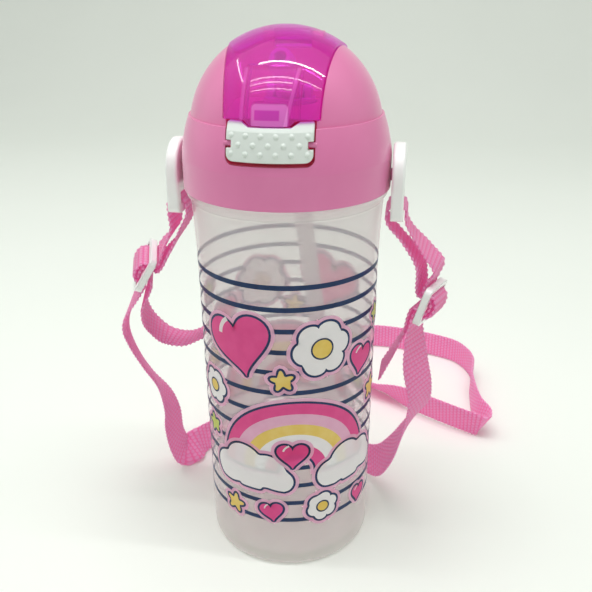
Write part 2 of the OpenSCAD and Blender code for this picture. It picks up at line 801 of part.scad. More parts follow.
// Strap: each point of the route is a place and the direction of the webbing's width there.
// Free stretches, chosen by hand
tail_left = [
    [-37.5, 12, 81.5, 0, 1, 0], [-46, 12, 77.5, 0, 1, 0], [-55, 12, 78.5, 0, 1, 0],
    [-60.5, 9, 86, -0.1, 1, 0], [-61, 4, 96, -0.2, 1, 0.1]
];
inner_left = [[-46, 0, 123, -0.2, 1, 0], [-40.5, 0, 131.5, 0, 1, 0]];
outer_left = [[-43.5, 0, 132.5, 0, 1, 0], [-47.5, 0, 126, -0.2, 1, 0]];
main_run = [
    [-67.9, 2, 91.5, -0.1, 1, 0.2], [-69.3, 5, 80.5, -0.35, 0.9, 0.25], [-67, 9, 68, -0.5, 0.85, 0.2],
    [-63.2, 15, 54, -0.5, 0.85, 0.15], [-59.7, 19, 41, -0.1, 1, 0.25], [-59.3, 22, 30, 0.2, 0.95, 0.3],
    [-58.8, 25, 15, 0.15, 0.95, 0.3], [-56.5, 29.5, 6.4, 0.2, 0.93, 0.3], [-51, 37, 7.6, 0.2, 0.65, 0.73],
    [-43, 53, 7.8, 0, 0, 1], [-32, 124, 7.8, 0, 0, 1], [20, 164, 7.8, 0, 0, 1], [74, 153, 7.8, 0, 0, 1],
    [82.6, 143.5, 7.8, 0, 0, 1], [86.5, 131, 7.8, 0, 0, 1], [85, 113, 7.8, 0, 0, 1],
    [86.5, 87, 7.6, 0.2, 0, 1], [89.5, 77, 7.3, 0.4, -0.2, 0.9], [87.8, 71, 7.2, 0.4, -0.3, 0.9],
    [81.5, 72.5, 7.8, 0.15, -0.25, 1], [50, 91, 7.9, 0, -0.3, 1], [32, 105, 5.7, 0, -0.8, 0.6],
    [10, 120, 8, 0, -0.3, 1], [-12, 111, 7.8, 0, 0, 1], [8, 56, 7.8, 0, 0, 1], [28, 36, 8, 0, 0, 1],
    [36, 27, 12, 0, 0.5, 0.9], [42.4, 18, 25, 0, 0.85, 0.5], [48, 10, 42.4, 0.25, 0.9, 0.3],
    [52.7, 4, 56, 0.6, 0.75, 0.2], [53.1, 1, 65.5, 0.6, 0.75, 0.2], [50.3, 0, 81, 0.6, 0.75, 0.05]
];
outer_right = [[56.6, 0, 120.5, 0.3, 1, 0], [52, 0, 127, 0.2, 1, 0], [46, 0, 134.5, 0, 1, 0]];
inner_right = [[42.5, 0, 132, 0, 1, 0], [49.5, 0, 122.5, 0.2, 1, 0]];
tail_right = [[46, 3, 92, 0.2, 1, 0], [42.5, 7, 83, 0.1, 1, 0], [36.5, 8.5, 70, 0, 1, 0]];

// Place on an adjuster: s along the strap, upwards, and d out from the frame's middle
function adjuster_point(i, p) =
    let (side = i == 0 ? -1 : 1, tilt = adjuster_tilt[i], turn = adjuster_turn[i])
    let (up = [sin(tilt), 0, cos(tilt)])
    let (out = side * [cos(turn) * cos(tilt), sin(turn), -cos(turn) * sin(tilt)])
    let (width = [-sin(turn) * cos(tilt), cos(turn), sin(turn) * sin(tilt)])
    concat(adjuster_at[i] + p[0] * up + p[1] * out, width);

// Two layers weave behind the end bars and over the middle bar; the tail lies under the main run
layer_gap = 0.45;
layer = strap_t + layer_gap;
first = adjuster_t / 2 + strap_gap + strap_t / 2;
second = first + layer;
slot_s = (adjuster_bar + adjuster_slot) / 2;
main_s = slot_s + layer / 2;
tail_s = slot_s - layer / 2;
over_bar = adjuster_bar / 2 + 0.2;
past_bar = adjuster_len / 2 + 1.2;
main_half = [[past_bar, -first - 0.2], [main_s + 0.3, -first], [main_s, first], [over_bar + 1, second]];
tail_half = [[tail_s + 0.3, -second], [tail_s, first - 0.9], [over_bar, first]];

// Weave from the top of the adjuster to its foot
function weave(i, half) =
    [for (p = concat(half, reversed([for (q = half) [-q[0], q[1]]]))) adjuster_point(i, p)];

// Loop over a hanger's bar, from the inner face to the outer one
function hanger_loop(side) =
    let (off = strap_gap + strap_t / 2)
    [for (p = [
        [hanger_in - off - 0.3, hanger_foot - 1], [hanger_in - off, bar_top + 0.2],
        [hanger_in + 0.3, bar_top + off + 0.3], [hanger_out - 0.3, bar_top + off + 0.3],
        [hanger_out + off, bar_top + 0.2], [hanger_out + off + 0.3, hanger_foot - 1]
    ]) [side * p[0], 0, p[1], 0, 1, 0]];

route = concat(
    tail_left, reversed(weave(0, tail_half)), inner_left, hanger_loop(-1), outer_left, weave(0, main_half),
    main_run, reversed(weave(1, main_half)), outer_right, reversed(hanger_loop(1)), inner_right,
    weave(1, tail_half), tail_right
);

function place(i) = [for (k = [0:2]) route[i][k]];

function unit(v) = v / norm(v);

// Direction of the route at point i, halfway between its two sides
function heading(i) =
    let (last = len(route) - 1)
    let (back = i == 0 ? place(1) - place(0) : place(i) - place(i - 1))
    let (ahead = i == last ? back : place(i + 1) - place(i))
    unit(unit(back) + unit(ahead));

// Flat section with softened edges, as width and thickness
strap_edge = strap_t / 4;
section = [for (a = [0:7])
    let (q = floor(a / 2), wide = q == 0 || q == 3 ? 1 : -1, thick = q < 2 ? 1 : -1, flat = (a + q) % 2)
    [wide * (strap_w / 2 - flat * strap_edge), thick * (strap_t / 2 - (1 - flat) * strap_edge)]
];

function strap_ring(i) =
    let (t = heading(i), given = [route[i][3], route[i][4], route[i][5]])
    let (w = unit(given - (given * t) * t), n = cross(t, w))
    [for (p = section) place(i) + p[0] * w + p[1] * n];

// One unbroken length of webbing, swept along the route
module carry_strap() {
    rings = len(route);
    sides = len(section);
    points = [for (i = [0:rings - 1]) each strap_ring(i)];
    skin = [for (i = [0:rings - 2], k = [0:sides - 1])
        let (a = i * sides + k, b = i * sides + (k + 1) % sides)
        each [[a, a + sides, b], [b, a + sides, b + sides]]
    ];
    last = (rings - 1) * sides;
    caps = [for (k = [1:sides - 2]) each [[0, k, k + 1], [last, last + k + 1, last + k]]];
    color(strap_pink) polyhedron(points, concat(skin, caps));
}

bottle();
lid_shell();
lid_insert();
lid_seal();
vent_valve();
spout_seat();
mouthpiece();
straw();
flip_cover();
hinge_pin();
latch_button();
hanger_left();
hanger_right();
adjuster_left();
adjuster_right();
carry_strap();
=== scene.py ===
import math

import bmesh
import bpy
import numpy as np
from mathutils import Matrix, Vector


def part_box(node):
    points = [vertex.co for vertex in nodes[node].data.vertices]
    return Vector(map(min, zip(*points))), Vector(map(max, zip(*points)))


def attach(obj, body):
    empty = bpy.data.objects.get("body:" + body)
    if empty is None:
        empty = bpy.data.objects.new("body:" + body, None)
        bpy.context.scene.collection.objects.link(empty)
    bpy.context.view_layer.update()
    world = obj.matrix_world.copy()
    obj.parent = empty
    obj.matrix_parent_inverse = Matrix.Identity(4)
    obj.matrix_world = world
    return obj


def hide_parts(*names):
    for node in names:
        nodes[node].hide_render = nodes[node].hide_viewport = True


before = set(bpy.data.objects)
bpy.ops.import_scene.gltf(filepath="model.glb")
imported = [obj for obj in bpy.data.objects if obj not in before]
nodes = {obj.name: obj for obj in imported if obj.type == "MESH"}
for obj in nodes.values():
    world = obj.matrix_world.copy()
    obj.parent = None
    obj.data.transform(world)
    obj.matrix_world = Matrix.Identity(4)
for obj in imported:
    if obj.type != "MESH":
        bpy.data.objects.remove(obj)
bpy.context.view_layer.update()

# The viewpoint: a camera held a quarter of a metre in front of the bottle, a little to its right and
# above the lid, looking down. Its focal length is given for a square picture of this many pixels.
picture_side = 592
focal_pixels = 744.5
sensor_side = 36
camera_place = (0.04392, -0.26247, 0.22172)
camera_turn = math.radians(8.87)
camera_pitch = math.radians(23.67)
camera_roll = math.radians(-0.34)
lens = bpy.data.cameras.new("camera")
lens.sensor_width = sensor_side
lens.lens = sensor_side * focal_pixels / picture_side
camera = bpy.data.objects.new("camera", lens)
camera.matrix_world = (
    Matrix.Translation(camera_place)
    @ Matrix.Rotation(camera_turn, 4, "Z")
    @ Matrix.Rotation(math.pi / 2 - camera_pitch, 4, "X")
    @ Matrix.Rotation(camera_roll, 4, "Z")
)
scene = bpy.context.scene
scene.collection.objects.link(camera)
scene.camera = camera
scene.view_settings.view_transform = "Standard"

# The carry strap: one length of ribbed polypropylene webbing, 15 mm wide. It is threaded through both
# tri-glides and over both hangers' bars, and its two cut ends hang free beside the bottle.
# Each point is a place and the direction of the webbing's width there.
strap_width = 0.015
strap_thick = 0.0011
strap_gap = 0.00035
layer_gap = 0.00045
tail_left = [
    (-0.0375, 0.012, 0.0815, 0, 1, 0), (-0.046, 0.012, 0.0775, 0, 1, 0),
    (-0.055, 0.012, 0.0785, 0, 1, 0), (-0.0605, 0.009, 0.086, -0.1, 1, 0),
    (-0.061, 0.004, 0.096, -0.2, 1, 0.1),
]
inner_left = [(-0.046, 0, 0.123, -0.2, 1, 0), (-0.0405, 0, 0.1315, 0, 1, 0)]
outer_left = [(-0.0435, 0, 0.1325, 0, 1, 0), (-0.0475, 0, 0.126, -0.2, 1, 0)]
main_run = [
    (-0.0679, 0.002, 0.0915, -0.1, 1, 0.2), (-0.0693, 0.005, 0.0805, -0.35, 0.9, 0.25),
    (-0.067, 0.009, 0.068, -0.5, 0.85, 0.2), (-0.0632, 0.015, 0.054, -0.5, 0.85, 0.15),
    (-0.0597, 0.019, 0.041, -0.1, 1, 0.25), (-0.0593, 0.022, 0.03, 0.2, 0.95, 0.3),
    (-0.0588, 0.025, 0.015, 0.15, 0.95, 0.3), (-0.0565, 0.0295, 0.0064, 0.2, 0.93, 0.3),
    (-0.051, 0.037, 0.0076, 0.2, 0.65, 0.73), (-0.043, 0.053, 0.0078, 0, 0, 1),
    (-0.032, 0.124, 0.0078, 0, 0, 1), (0.02, 0.164, 0.0078, 0, 0, 1), (0.074, 0.153, 0.0078, 0, 0, 1),
    (0.0826, 0.1435, 0.0078, 0, 0, 1), (0.0865, 0.131, 0.0078, 0, 0, 1), (0.085, 0.113, 0.0078, 0, 0, 1),
    (0.0865, 0.087, 0.0076, 0.2, 0, 1), (0.0895, 0.077, 0.0073, 0.4, -0.2, 0.9),
    (0.0878, 0.071, 0.0072, 0.4, -0.3, 0.9), (0.0815, 0.0725, 0.0078, 0.15, -0.25, 1),
    (0.05, 0.091, 0.0079, 0, -0.3, 1), (0.032, 0.105, 0.0057, 0, -0.8, 0.6), (0.01, 0.12, 0.008, 0, -0.3, 1),
    (-0.012, 0.111, 0.0078, 0, 0, 1), (0.008, 0.056, 0.0078, 0, 0, 1), (0.028, 0.036, 0.008, 0, 0, 1),
    (0.036, 0.027, 0.012, 0, 0.5, 0.9), (0.0424, 0.018, 0.025, 0, 0.85, 0.5),
    (0.048, 0.01, 0.0424, 0.25, 0.9, 0.3), (0.0527, 0.004, 0.056, 0.6, 0.75, 0.2),
    (0.0531, 0.001, 0.0655, 0.6, 0.75, 0.2), (0.0503, 0, 0.081, 0.6, 0.75, 0.05),
]
outer_right = [(0.0566, 0, 0.1205, 0.3, 1, 0), (0.052, 0, 0.127, 0.2, 1, 0), (0.046, 0, 0.1345, 0, 1, 0)]
inner_right = [(0.0425, 0, 0.132, 0, 1, 0), (0.0495, 0, 0.1225, 0.2, 1, 0)]
tail_right = [
    (0.046, 0.003, 0.092, 0.2, 1, 0), (0.0425, 0.007, 0.083, 0.1, 1, 0), (0.0365, 0.0085, 0.07, 0, 1, 0),
]

# How the strap weaves through a tri-glide. Each one has a middle, a tilt, a turn and a side that it faces.
# The weave is given as heights along the frame and distances out from its middle.
glides = {"left": ((-0.0572, 0, 0.115), 32, 20, -1), "right": ((0.0544, 0, 0.1062), 17, -20, 1)}
glide_thick = 0.0026
glide_bar = 0.0019
glide_slot = 0.0049
layer = strap_thick + layer_gap
first_layer = glide_thick / 2 + strap_gap + strap_thick / 2
second_layer = first_layer + layer
slot_middle = (glide_bar + glide_slot) / 2
main_height = slot_middle + layer / 2
tail_height = slot_middle - layer / 2
bar_ease = 0.0002
slot_lean = 0.0003
overhang = 0.0012
layer_spread = 0.001
tail_tuck = 0.0009
over_bar = glide_bar / 2 + bar_ease
past_bar = 1.5 * glide_bar + glide_slot + overhang
main_weave = [
    (past_bar, -first_layer - bar_ease), (main_height + slot_lean, -first_layer),
    (main_height, first_layer), (over_bar + layer_spread, second_layer),
]
tail_weave = [
    (tail_height + slot_lean, -second_layer), (tail_height, first_layer - tail_tuck), (over_bar, first_layer),
]


def weave(glide, half):
    """The route through a tri-glide from its top to its foot."""
    middle, tilt, turn, side = glides[glide]
    facing = Matrix.Rotation(math.radians(tilt), 3, "Y") @ Matrix.Rotation(math.radians(turn), 3, "Z")
    up, out, across = facing.col[2], side * facing.col[0], facing.col[1]
    whole = half + [(-height, depth) for height, depth in reversed(half)]
    return [(*(Vector(middle) + height * up + depth * out), *across) for height, depth in whole]


hanger_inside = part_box("hanger_right")[0].x
hanger_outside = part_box("hanger_right")[1].x
hanger_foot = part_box("hanger_right")[0].z
hanger_bar = 0.0035
bar_top = hanger_foot + hanger_bar
hang_below = 0.001


def hanger_loop(side):
    """The route over a hanger's bar, from its inner face to its outer one."""
    off = strap_gap + strap_thick / 2
    ease = 0.0003
    hang = hanger_foot - hang_below
    corner = bar_top + bar_ease
    points = [
        (hanger_inside - off - ease, hang), (hanger_inside - off, corner),
        (hanger_inside + ease, bar_top + off + ease), (hanger_outside - ease, bar_top + off + ease),
        (hanger_outside + off, corner), (hanger_outside + off + ease, hang),
    ]
    return [(side * x, 0, z, 0, 1, 0) for x, z in points]


route = (
    tail_left + weave("left", tail_weave)[::-1] + inner_left + hanger_loop(-1) + outer_left
    + weave("left", main_weave) + main_run + weave("right", main_weave)[::-1] + outer_right
    + hanger_loop(1)[::-1] + inner_right + weave("right", tail_weave) + tail_right
)
rib_pitch = 0.0020
rings_per_rib = 6
steps_per_span = 24


def smooth_route(points, step):
    """Points at even steps along a curve through all the route's points."""
    given = np.array(points, float)
    given = np.vstack([2 * given[0] - given[1], given, 2 * given[-1] - given[-2]])
    spans = np.linalg.norm(np.diff(given[:, :3], axis=0), axis=1)
    knots = np.concatenate([[0], np.cumsum(np.sqrt(spans))])
    dense = []
    for i in range(1, len(given) - 2):
        t0, t1, t2, t3 = knots[i - 1:i + 3]
        p0, p1, p2, p3 = given[i - 1:i + 3]
        for t in np.linspace(t1, t2, steps_per_span, endpoint=False):
            a = p0 + (p1 - p0) * (t - t0) / (t1 - t0)
            b = p1 + (p2 - p1) * (t - t1) / (t2 - t1)
            c = p2 + (p3 - p2) * (t - t2) / (t3 - t2)
            d = a + (b - a) * (t - t0) / (t2 - t0)
            e = b + (c - b) * (t - t1) / (t3 - t1)
            dense.append(d + (e - d) * (t - t1) / (t2 - t1))
    dense = np.array(dense + [given[-2]])
    lengths = np.concatenate([[0], np.cumsum(np.linalg.norm(np.diff(dense[:, :3], axis=0), axis=1))])
    stops = np.arange(0, lengths[-1], step)
    return np.stack([np.interp(stops, lengths, dense[:, k]) for k in range(6)], axis=1), stops


strap_line, strap_run = smooth_route(route, rib_pitch / rings_per_rib)
centres = strap_line[:, :3]
heading = np.gradient(centres, axis=0)
heading /= np.linalg.norm(heading, axis=1, keepdims=True)
width_way = strap_line[:, 3:]
width_way = width_way - heading * np.sum(width_way * heading, axis=1, keepdims=True)
width_way /= np.linalg.norm(width_way, axis=1, keepdims=True)
thick_way = np.cross(heading, width_way)

# Webbing section: flat faces and soft edges. Every weft rib thickens it and scallops its edges.
# Where it lies on the ground it doesn't sink in.
flat_stops = [-0.95, -0.6, -0.2, 0.2, 0.6, 0.95]
section = [(u, 1) for u in flat_stops] + [(1, 0)] + [(u, -1) for u in reversed(flat_stops)] + [(-1, 0)]
rib_height = 0.00018
scallop = 0.00016
rib_wave = np.cos(2 * math.pi * strap_run / rib_pitch)
half_width = strap_width / 2 - scallop + scallop * rib_wave
half_thick = strap_thick / 2 - rib_height + rib_height * rib_wave
sides = len(section)
strap_points = np.stack([
    centres + width_way * (u * half_width)[:, None] + thick_way * (v * half_thick)[:, None]
    for u, v in section
], axis=1).reshape(-1, 3)
strap_points[:, 2] = np.maximum(strap_points[:, 2], 0)
rings = len(centres)
strap_faces = [
    (i * sides + k, i * sides + (k + 1) % sides, (i + 1) * sides + (k + 1) % sides, (i + 1) * sides + k)
    for i in range(rings - 1) for k in range(sides)
]
strap_faces += [tuple(range(sides))[::-1], tuple((rings - 1) * sides + k for k in range(sides))]


def new_piece(name, points, faces):
    """A smooth mesh object made from points and faces."""
    mesh = bpy.data.meshes.new(name)
    mesh.from_pydata([tuple(p) for p in points], [], faces)
    mesh.validate()
    mesh.polygons.foreach_set("use_smooth", [True] * len(mesh.polygons))
    piece = bpy.data.objects.new(name, mesh)
    scene.collection.objects.link(piece)
    return piece


strap = new_piece("strap_webbing", strap_points, strap_faces)
along = strap.data.attributes.new("along", "FLOAT", "POINT")
along.data.foreach_set("value", np.repeat(strap_run, sides))
across = strap.data.attributes.new("across", "FLOAT", "POINT")
across.data.foreach_set("value", np.tile([u * strap_width / 2 for u, v in section], rings))


class Wire:
    """An output socket that works in Python sums: each operator adds its Math node to the material."""

    def __init__(self, tree, socket=None):
        self.tree = tree
        self.socket = socket

    def node(self, kind, settings=None, out=0, **inputs):
        """Adds a node: its settings are set first, then its sockets' values or links."""
        made = self.tree.nodes.new(kind)
        for name, value in (settings or {}).items():
            setattr(made, name, value)
        for name, value in inputs.items():
            socket = made.inputs[int(name[1:])] if name[1:].isdigit() else made.inputs[name.replace("_", " ")]
            if isinstance(value, Wire):
                self.tree.links.new(value.socket, socket)
            elif isinstance(value, tuple) and len(value) == 3 and len(socket.default_value) == 4:
                socket.default_value = (*value, 1)
            else:
                socket.default_value = value
        return None if out is None else Wire(self.tree, made.outputs[out])

    def math(self, operation, *values):
        """Adds one Math node on these values."""
        inputs = {f"i{k}": value for k, value in enumerate(values)}
        return self.node("ShaderNodeMath", {"operation": operation}, **inputs)

    def __add__(self, other):
        return self.math("ADD", self, other)

    def __sub__(self, other):
        return self.math("SUBTRACT", self, other)

    def __mul__(self, other):
        return self.math("MULTIPLY", self, other)

    def __truediv__(self, other):
        return self.math("DIVIDE", self, other)

    def __radd__(self, other):
        return self.math("ADD", other, self)

    def __rsub__(self, other):
        return self.math("SUBTRACT", other, self)

    def __rmul__(self, other):
        return self.math("MULTIPLY", other, self)

    def blend(self, low, high):
        """A colour between low and high, by this value."""
        settings = {"data_type": "RGBA"}
        return self.node("ShaderNodeMix", settings, out=2, i0=self, i6=low, i7=high)

    def band(self, low, high):
        """0 below low, 1 above high, smooth between."""
        settings = {"interpolation_type": "SMOOTHSTEP"}
        return self.node("ShaderNodeMapRange", settings, Value=self, From_Min=low, From_Max=high)


def new_material(name):
    """An empty node material and the wire that its nodes are added by."""
    material = bpy.data.materials.new(name)
    material.use_nodes = True
    material.node_tree.nodes.clear()
    return material, Wire(material.node_tree)


def finish_mix(material, shader):
    """Ends a material in this shader."""
    shader.node("ShaderNodeOutputMaterial", out=None, Surface=shader)
    return material


def finish_material(material, wire, **inputs):
    """Ends a material in one Principled shader with these sockets."""
    return finish_mix(material, wire.node("ShaderNodeBsdfPrincipled", **inputs))


def dress(piece, material):
    """Gives a piece this one material."""
    piece.data.materials.clear()
    piece.data.materials.append(material)


# Webbing finish: weft ribs across, warp yarns lying over alternate ribs, loose fibre between them.
# The webbing glows a little, a painted glow, and some light comes through the weave.
def webbing_material():
    material, wire = new_material("pink_webbing")
    yarn_pitch = 0.0019
    # The grooves between the beads are painted a deeper pink than the beads' tops: painted shade.
    groove_shade_pink = (0.93, 0.19, 0.48)
    ridge_pink = (1.0, 0.53, 0.78)
    ridge_pale = (1.0, 0.61, 0.84)
    through_share = 0.4
    along_wire = wire.node("ShaderNodeAttribute", {"attribute_name": "along"}, out="Fac")
    across_wire = wire.node("ShaderNodeAttribute", {"attribute_name": "across"}, out="Fac")
    row = along_wire / rib_pitch
    shift = 0.5 * row.math("FLOORED_MODULO", row.math("ROUND", row), 2.0)
    yarn = 0.5 + 0.5 * row.math("COSINE", (across_wire / yarn_pitch + shift) * (2 * math.pi))
    rib = 0.5 + 0.5 * row.math("COSINE", row * (2 * math.pi))
    place = wire.node("ShaderNodeTexCoord", out="Object")
    fibre = wire.node("ShaderNodeTexNoise", Vector=place, Scale=2600.0, Detail=2.0)
    patch = wire.node("ShaderNodeTexNoise", Vector=place, Scale=60.0, Detail=3.0)
    bead = row.math("SQRT", yarn * rib)
    height = 0.7 * bead + 0.2 * rib + 0.15 * fibre
    light = patch.blend(ridge_pink, ridge_pale)
    colour = height.band(0.05, 0.7).blend(groove_shade_pink, light)
    bump = wire.node("ShaderNodeBump", Strength=1.0, Distance=0.0006, Height=height)
    # The emission is a painted glow that lifts the webbing above the light that falls on it.
    yarns = wire.node(
        "ShaderNodeBsdfPrincipled", Base_Color=colour, Roughness=0.6, Normal=bump, Sheen_Weight=0.5,
        Sheen_Roughness=0.45, Sheen_Tint=(1.0, 0.8, 0.92), Emission_Color=(1.0, 0.28, 0.72),
        Emission_Strength=0.11,
    )
    glow = wire.node("ShaderNodeBsdfTranslucent", Color=(1.0, 0.44, 0.72))
    return finish_mix(material, wire.node("ShaderNodeMixShader", i0=through_share, i1=yarns, i2=glow))


dress(strap, webbing_material())
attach(strap, "hanger_left")
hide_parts("carry_strap")

# The bottle: blow-moulded frosted plastic, a thin wall that drafts outwards from the foot to the bead
# under the lid. It is clear enough to show the straw and the print on its far side.
def frosted_material():
    """Clear plastic with a milky bloom, thicker at the foot and the bead."""
    foot_low, foot_high = 0.002, 0.03
    bead_low, bead_high = 0.1455, 0.1475
    milk_share = 0.7
    material, wire = new_material("frosted_body")
    place = wire.node("ShaderNodeTexCoord", out="Object")
    height = wire.node("ShaderNodeSeparateXYZ", Vector=place, out="Z")
    haze = wire.node("ShaderNodeTexNoise", Vector=place, Scale=35.0, Detail=4.0)
    grain = wire.node("ShaderNodeTexNoise", Vector=place, Scale=1800.0, Detail=2.0)
    foot = 1 - height.band(foot_low, foot_high)
    bead = height.band(bead_low, bead_high)
    cloud = 0.28 + 0.08 * haze + 0.24 * foot + 0.2 * bead
    colour = haze.blend((0.96, 0.945, 0.94), (0.99, 0.975, 0.97))
    rough = 0.34 + 0.12 * haze
    bump = wire.node("ShaderNodeBump", Strength=0.12, Distance=0.0001, Height=grain)
    skin = wire.node(
        "ShaderNodeBsdfPrincipled", Base_Color=colour, Roughness=rough, Normal=bump, IOR=1.45,
        Coat_Weight=0.15, Coat_Roughness=0.25,
    )
    glow = wire.node("ShaderNodeBsdfTranslucent", Color=(0.99, 0.97, 0.965))
    milk = wire.node("ShaderNodeMixShader", i0=milk_share, i1=skin, i2=glow)
    clear = wire.node("ShaderNodeBsdfTransparent", Color=(1.0, 1.0, 1.0))
    return finish_mix(material, wire.node("ShaderNodeMixShader", i0=cloud, i1=clear, i2=milk))


dress(nodes["bottle"], frosted_material())

# The print: screen-printed ink on the outside of the wall. Navy hoops run round the whole body, with a
# group of pictures over them at the front and the same group at the back.
foot_radius = 0.033
draft = 0.0013
flare = 0.001
flare_z = 0.115
shoulder_z = 0.1464
ink_lift = 0.00004


def wall_radius(z):
    """Outer radius of the bottle's wall at height z."""
    rise = max(0.0, (z - flare_z) / (shoulder_z - flare_z))
    return foot_radius + draft * z / shoulder_z + flare * rise * rise


print_middle = 0.07
unrolled = wall_radius(print_middle)
wrap_step = 0.0012
lift_step = 0.008


class Ink:
    """Flat shapes in one colour, gathered as seen on the unrolled wall, then wrapped on to it."""

    def __init__(self, name):
        self.name = name
        self.mesh = bmesh.new()
        self.layers = self.mesh.verts.layers.float.new("layer")

    def shape(self, outline, layer):
        """Adds an outline of (round, up) points, in metres, on a numbered layer of ink."""
        corners = [self.mesh.verts.new((u, 0, v)) for u, v in outline]
        for corner in corners:
            corner[self.layers] = layer
        self.mesh.faces.new(corners)

    def edge(self, outline, inside, outside, layer):
        """Adds a band that follows an outline, between two distances out from it."""
        inner, outer = grown(outline, inside), grown(outline, outside)
        for i in range(len(outline)):
            self.shape([outer[i - 1], outer[i], inner[i], inner[i - 1]], layer)

    def cut(self, axis, step):
        """Cuts the shapes at even steps, so that they can follow the wall."""
        spots = [corner.co[axis] for corner in self.mesh.verts]
        normal = [1 if k == axis else 0 for k in range(3)]
        for k in range(math.ceil(min(spots) / step), math.floor(max(spots) / step) + 1):
            everything = self.mesh.verts[:] + self.mesh.edges[:] + self.mesh.faces[:]
            place = [k * step * n for n in normal]
            bmesh.ops.bisect_plane(self.mesh, geom=everything, dist=1e-7, plane_co=place, plane_no=normal)

    def print_on_wall(self, material):
        """Cuts the shapes fine, wraps them on to the wall and makes them one piece."""
        bmesh.ops.triangulate(self.mesh, faces=self.mesh.faces[:])
        self.cut(0, wrap_step)
        self.cut(2, lift_step)
        for corner in self.mesh.verts:
            u, z = corner.co.x, corner.co.z
            r = wall_radius(z) + ink_lift * (1 + corner[self.layers])
            corner.co = (r * math.sin(u / unrolled), -r * math.cos(u / unrolled), z)
        bmesh.ops.recalc_face_normals(self.mesh, faces=self.mesh.faces[:])
        for face in self.mesh.faces:
            face.smooth = True
            middle = face.calc_center_median()
            if face.normal.dot(Vector((middle.x, middle.y, 0))) < 0:
                face.normal_flip()
        made = bpy.data.meshes.new(self.name)
        self.mesh.to_mesh(made)
        self.mesh.free()
        piece = bpy.data.objects.new(self.name, made)
        scene.collection.objects.link(piece)
        dress(piece, material)
        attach(piece, "bottle")


def ink_material(name, deep, light, behind, share):
    """Screen ink: a slightly uneven, slightly glossy film that lets a share of the light through."""
    material, wire = new_material(name)
    place = wire.node("ShaderNodeTexCoord", out="Object")
    patch = wire.node("ShaderNodeTexNoise", Vector=place, Scale=220.0, Detail=3.0)
    screen = wire.node("ShaderNodeTexNoise", Vector=place, Scale=2400.0, Detail=1.0)
    colour = patch.band(0.3, 0.7).blend(deep, light)
    bump = wire.node("ShaderNodeBump", Strength=0.15, Distance=0.00005, Height=screen)
    rough = 0.32 + 0.12 * patch
    film = wire.node(
        "ShaderNodeBsdfPrincipled", Base_Color=colour, Roughness=rough, Normal=bump, Specular_IOR_Level=0.3,
    )
    through = wire.node("ShaderNodeBsdfTranslucent", Color=behind)
    return finish_mix(material, wire.node("ShaderNodeMixShader", i0=share, i1=film, i2=through))


def turned(outline, angle=0, size=1, at=(0, 0)):
    """An outline turned, resized and moved."""
    c, s = math.cos(math.radians(angle)) * size, math.sin(math.radians(angle)) * size
    return [(at[0] + c * x - s * y, at[1] + s * x + c * y) for x, y in outline]


def grown(outline, edge):
    """An outline moved out by the width of its drawn edge, with its sharp corners kept short."""
    longest_corner = 2.2
    least_turn = 0.2
    moved = []
    for i, (x, y) in enumerate(outline):
        before, after = Vector(outline[i - 1]), Vector(outline[(i + 1) % len(outline)])
        way_in, way_out = (Vector((x, y)) - before).normalized(), (after - Vector((x, y))).normalized()
        out = Vector((way_in.y + way_out.y, -way_in.x - way_out.x))
        reach = min(longest_corner, 2 / max(least_turn, out.length_squared))
        moved.append((x + out.x * edge * reach, y + out.y * edge * reach))
    return moved


def round_outline(radius_at, count=72):
    """A closed outline from a radius at each angle."""
    angles = [2 * math.pi * k / count for k in range(count)]
    return [(radius_at(a) * math.cos(a), radius_at(a) * math.sin(a)) for a in angles]


def heart_outline():
    """A heart one unit wide, from sines and cosines of one angle."""
    count = 60

    def point(t):
        wave = 13 * math.cos(t) - 5 * math.cos(2 * t) - 2 * math.cos(3 * t) - math.cos(4 * t)
        return -16 * math.sin(t) ** 3 / 32, wave / 32

    return [point(2 * math.pi * k / count) for k in range(count)]


def star_outline():
    """Five rounded tips round a core."""
    tips, core, tip = 5, 0.26, 0.26
    return round_outline(lambda a: core + tip * (0.5 + 0.5 * math.cos(tips * (a - math.pi / 2))) ** 1.5, 80)


def flower_outline():
    """Six round petals."""
    petals, root, petal = 6, 0.34, 0.1
    return round_outline(lambda a: root + petal * abs(math.cos(petals * a / 2)) ** 0.6, 96)


def cloud_outline():
    """Puffs round a middle, cut flat underneath."""
    puffs = [(-0.3, -0.02, 0.2), (-0.08, 0.12, 0.24), (0.2, 0.06, 0.22), (0.36, -0.06, 0.15), (0, -0.1, 0.16)]
    floor = -0.2
    count = 96

    def reach(a):
        far = 0.1
        for x, y, r in puffs:
            ahead = x * math.cos(a) + y * math.sin(a)
            aside = x * math.sin(a) - y * math.cos(a)
            if abs(aside) < r:
                far = max(far, ahead + math.sqrt(r * r - aside * aside))
        return min(far, floor / math.sin(a)) if math.sin(a) < -0.01 else far

    bumps = [Vector(p) for p in round_outline(reach, count)]
    return [tuple((bumps[i - 1] + bumps[i] + bumps[(i + 1) % count]) / 3) for i in range(count)]


def arch_outline(inside, outside, start=0, end=180, count=40):
    """Part of a ring, from one angle to another."""
    sweep = [math.radians(start + (end - start) * k / count) for k in range(count + 1)]
    outer = [(outside * math.cos(a), outside * math.sin(a)) for a in sweep]
    return outer + [(inside * math.cos(a), inside * math.sin(a)) for a in reversed(sweep)]


navy, rose, blush, snow, sun, lime = (
    Ink(f"print_{name}") for name in ("navy", "rose", "blush", "white", "yellow", "lime")
)
half_round = math.pi * unrolled
drawn_edge = 0.0009
halo = 0.0022
low_layer, middle_layer, top_layer = 4, 7, 10
pictures = []


def edged(outline, layer):
    """A navy edge round a picture and a pale margin outside it, noted so that the hoops stop there."""
    pictures.append(grown(outline, (drawn_edge + halo) / 2))
    blush.edge(outline, drawn_edge, halo, layer - 3)
    navy.edge(outline, 0, drawn_edge, layer - 2)


def sticker(ink, outline, layer):
    """An edged picture filled with one ink."""
    edged(outline, layer)
    ink.shape(outline, layer - 1)


